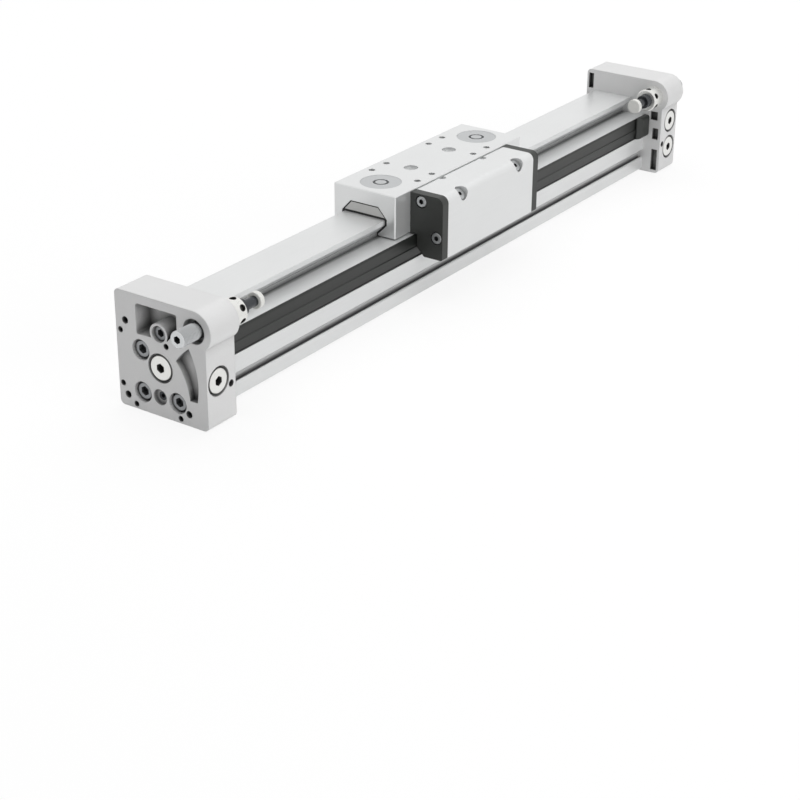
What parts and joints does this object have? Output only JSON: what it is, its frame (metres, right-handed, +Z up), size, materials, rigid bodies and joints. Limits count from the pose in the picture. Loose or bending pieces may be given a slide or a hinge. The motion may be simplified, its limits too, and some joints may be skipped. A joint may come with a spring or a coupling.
{
  "type": "rodless pneumatic cylinder",
  "caption": "Slot-type rodless pneumatic cylinder: an outside carriage slides on the barrel's guide rail between two end caps with adjustable shock absorbers.",
  "frame": {"origin": "under the middle of the whole object, in the plane of the end caps' bottoms", "axes": "+X along the barrel, +Y away from the slot and the driver housing, +Z up through the carriage's top"},
  "size_m": [0.556, 0.069, 0.0695],
  "materials": {
    "anodised_profile": "natural anodised extrusion",
    "cast_cap": "die-cast, finely blasted",
    "anodised_carriage": "natural anodised",
    "anodised_cover": "natural anodised extrusion",
    "machined_aluminium": "machined",
    "steel_screws": "zinc plated",
    "nickel_plug": "nickel plated",
    "seal_rubber": "nitrile rubber",
    "brass_fitting": "turned brass",
    "shock_steel": "hardened steel",
    "bright_nut": "bright plated steel",
    "white_buffer": "moulded polyurethane",
    "spring_steel": "rolled strip",
    "black_band": "extruded polyurethane",
    "black_plastic": "moulded",
    "slide_plastic": "machined acetal",
    "dark_slide": "machined acetal",
    "magnet_ring": "plastic bonded magnet",
    "steel_disc": "turned"
  },
  "bodies": {
    "frame": {"profile_barrel": "anodised_profile", "inner_band": "spring_steel", "cover_band": "black_band", "end_cap_left": "cast_cap", "cap_screws_left": "steel_screws", "rail_screw_left": "steel_screws", "end_port_plug_left": "nickel_plug", "side_port_plug_left": "nickel_plug", "plug_seals_left": "seal_rubber", "bore_seal_left": "seal_rubber", "cushion_spigot_left": "brass_fitting", "shock_body_left": "shock_steel", "shock_nut_left": "bright_nut", "band_clamp_left": "black_plastic", "end_cap_right": "cast_cap", "cap_screws_right": "steel_screws", "rail_screw_right": "steel_screws", "end_port_plug_right": "nickel_plug", "side_port_plug_right": "nickel_plug", "plug_seals_right": "seal_rubber", "bore_seal_right": "seal_rubber", "cushion_spigot_right": "brass_fitting", "shock_body_right": "shock_steel", "shock_nut_right": "bright_nut", "band_clamp_right": "black_plastic"},
    "slider": {"end_wiper_left": "seal_rubber", "piston_head_left": "machined_aluminium", "piston_seal_left": "seal_rubber", "wear_ring_left": "slide_plastic", "piston_magnet_left": "magnet_ring", "piston_bolt_left": "steel_screws", "end_plate_left": "black_plastic", "end_plate_screws_left": "steel_screws", "band_shoe_left": "black_plastic", "end_wiper_right": "seal_rubber", "piston_head_right": "machined_aluminium", "piston_seal_right": "seal_rubber", "wear_ring_right": "slide_plastic", "piston_magnet_right": "magnet_ring", "piston_bolt_right": "steel_screws", "end_plate_right": "black_plastic", "end_plate_screws_right": "steel_screws", "band_shoe_right": "black_plastic", "carriage": "anodised_carriage", "guide_insert": "slide_plastic", "guide_strip_front": "dark_slide", "guide_strip_back": "dark_slide", "guide_adjusters": "steel_disc", "piston_yoke": "machined_aluminium", "driver_block": "machined_aluminium", "driver_screws": "steel_screws", "driver_cover": "anodised_cover", "cover_screws": "steel_screws"},
    "plunger_left": {"shock_rod_left": "shock_steel", "shock_buffer_left": "white_buffer"},
    "needle_left": {"cushion_needle_left": "steel_screws"},
    "plunger_right": {"shock_rod_right": "shock_steel", "shock_buffer_right": "white_buffer"},
    "needle_right": {"cushion_needle_right": "steel_screws"}
  },
  "joints": [
    {"name": "carriage_slide", "type": "slide", "parent": "frame", "child": "slider", "axis": [1, 0, 0], "range_m": [-0.1595, 0.1529], "deforming": ["inner_band", "cover_band"]},
    {"name": "shock_plunger_left", "type": "slide", "parent": "frame", "child": "plunger_left", "axis": [-1, 0, 0], "range_m": [0, 0.008], "stiffness_N_per_m": 400, "springref_m": -0.006},
    {"name": "needle_turn_left", "type": "hinge", "parent": "frame", "child": "needle_left", "pos_m": [-0.265, 0.00428, 0.0115], "axis": [1, 0, 0], "range_deg": [-180, 180]},
    {"name": "shock_plunger_right", "type": "slide", "parent": "frame", "child": "plunger_right", "axis": [1, 0, 0], "range_m": [0, 0.008], "stiffness_N_per_m": 400, "springref_m": -0.006},
    {"name": "needle_turn_right", "type": "hinge", "parent": "frame", "child": "needle_right", "pos_m": [0.265, 0.00428, 0.0115], "axis": [-1, 0, 0], "range_deg": [-180, 180]}
  ]
}
